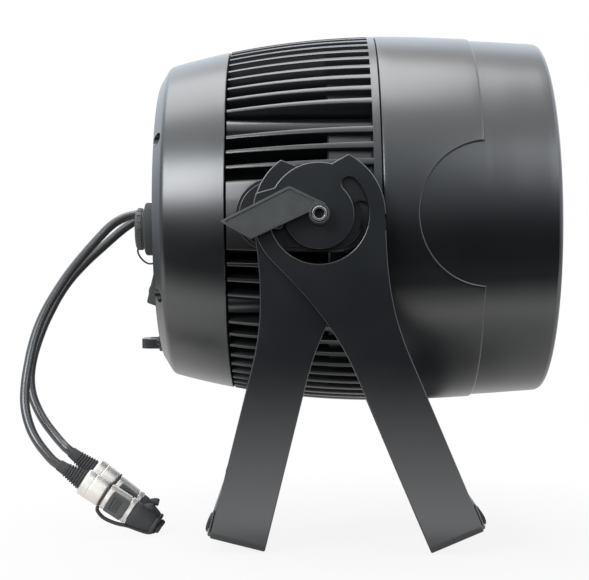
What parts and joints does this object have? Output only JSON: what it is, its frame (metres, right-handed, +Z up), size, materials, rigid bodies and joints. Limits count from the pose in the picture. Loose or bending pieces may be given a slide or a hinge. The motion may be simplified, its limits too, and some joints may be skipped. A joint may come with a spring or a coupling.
{
  "type": "led par can",
  "caption": "Weatherproof stage wash light: finned barrel body tilting between two folding U yokes that stand as legs, with clamp levers, rear menu and free capped data leads.",
  "frame": {"origin": "on the floor under the middle of the lamp and its yokes, leads left out", "axes": "+X out of the light exit, +Z up, right side of the lamp towards -Y"},
  "size_m": [0.3631, 0.3072, 0.3456],
  "materials": {
    "cast_paint": "satin black powder coat on a casting",
    "plate_paint": "satin black powder coat on bent steel plate",
    "black_plastic": "moulded black nylon",
    "potted_supply": "potted power supply block",
    "rubber": "matt black rubber",
    "nylon": "grey nylon washer",
    "glass": "clear toughened glass",
    "dark_window": "smoked display window",
    "lens": "clear moulded acrylic",
    "circuit": "white circuit board",
    "zinc_steel": "zinc plated",
    "nickel_brass": "satin nickel plate"
  },
  "bodies": {
    "rear_yoke": {"rear_yoke": "plate_paint", "rear_bumper_right": "rubber", "rear_bumper_left": "rubber", "lead_boot_near": "rubber", "lead_boot_far": "rubber", "lead_connector_near": "nickel_brass", "lead_connector_far": "nickel_brass", "lead_latch_near": "black_plastic", "lead_latch_far": "black_plastic", "lead_cap_near": "rubber", "lead_cap_far": "rubber", "lead_strap_near": "rubber", "lead_strap_far": "rubber"},
    "lamp_head": {"heat_sink": "cast_paint", "front_housing": "cast_paint", "rear_cover": "cast_paint", "led_board": "circuit", "control_board": "circuit", "lens_array": "lens", "lens_mask": "black_plastic", "front_glass": "glass", "glass_gasket": "rubber", "glass_retaining_ring": "plate_paint", "cover_gasket": "rubber", "power_supply": "potted_supply", "control_panel": "black_plastic", "display_window": "dark_window", "power_in_socket": "black_plastic", "power_out_socket": "black_plastic", "power_in_strap": "rubber", "power_out_strap": "rubber", "gland_body_near": "nickel_brass", "gland_body_far": "nickel_brass", "gland_nut_near": "nickel_brass", "gland_nut_far": "nickel_brass", "safety_eye": "zinc_steel", "pivot_bolt_right": "zinc_steel", "pivot_bolt_left": "zinc_steel", "tilt_stop_pin_right": "zinc_steel", "tilt_stop_pin_left": "zinc_steel", "friction_washer_right": "nylon", "friction_washer_left": "nylon", "spacer_washer_right": "nylon", "spacer_washer_left": "nylon", "data_lead_near": "rubber", "data_lead_far": "rubber"},
    "front_yoke": {"front_yoke": "plate_paint", "front_bumper_right": "rubber", "front_bumper_left": "rubber"},
    "clamp_lever_right": {"clamp_lever_right": "black_plastic", "lever_screw_right": "zinc_steel"},
    "clamp_lever_left": {"clamp_lever_left": "black_plastic", "lever_screw_left": "zinc_steel"},
    "menu_button_1": {"menu_button_1": "rubber"},
    "menu_button_2": {"menu_button_2": "rubber"},
    "menu_button_3": {"menu_button_3": "rubber"},
    "menu_button_4": {"menu_button_4": "rubber"},
    "power_in_cap": {"power_in_cap": "rubber"},
    "power_out_cap": {"power_out_cap": "rubber"}
  },
  "joints": [
    {"name": "head_tilt", "type": "hinge", "parent": "rear_yoke", "child": "lamp_head", "pos_m": [-0.016, 0, 0.2142], "axis": [0, -1, 0], "range_deg": [-7, 95], "deforming": ["data_lead_near", "data_lead_far"]},
    {"name": "front_yoke_fold", "type": "hinge", "parent": "rear_yoke", "child": "front_yoke", "pos_m": [-0.016, 0, 0.2142], "axis": [0, -1, 0], "range_deg": [-36, 3]},
    {"name": "lever_right_turn", "type": "hinge", "parent": "lamp_head", "child": "clamp_lever_right", "pos_m": [-0.016, -0.147, 0.2142], "axis": [0, -1, 0], "range_deg": [-45, 135]},
    {"name": "lever_left_turn", "type": "hinge", "parent": "lamp_head", "child": "clamp_lever_left", "pos_m": [-0.016, 0.147, 0.2142], "axis": [0, -1, 0], "range_deg": [-45, 135]},
    {"name": "button_1_press", "type": "slide", "parent": "lamp_head", "child": "menu_button_1", "axis": [0.972, 0, -0.235], "range_m": [0, 0.001], "stiffness_N_per_m": 800, "springref_m": -0.0005},
    {"name": "button_2_press", "type": "slide", "parent": "lamp_head", "child": "menu_button_2", "axis": [0.972, 0, -0.235], "range_m": [0, 0.001], "stiffness_N_per_m": 800, "springref_m": -0.0005},
    {"name": "button_3_press", "type": "slide", "parent": "lamp_head", "child": "menu_button_3", "axis": [0.972, 0, -0.235], "range_m": [0, 0.001], "stiffness_N_per_m": 800, "springref_m": -0.0005},
    {"name": "button_4_press", "type": "slide", "parent": "lamp_head", "child": "menu_button_4", "axis": [0.972, 0, -0.235], "range_m": [0, 0.001], "stiffness_N_per_m": 800, "springref_m": -0.0005},
    {"name": "power_in_cap_pull", "type": "slide", "parent": "lamp_head", "child": "power_in_cap", "axis": [-1, 0, -0.0096], "range_m": [0, 0.015], "deforming": ["power_in_strap"]},
    {"name": "power_out_cap_pull", "type": "slide", "parent": "lamp_head", "child": "power_out_cap", "axis": [-1, 0, -0.0096], "range_m": [0, 0.015], "deforming": ["power_out_strap"]}
  ]
}
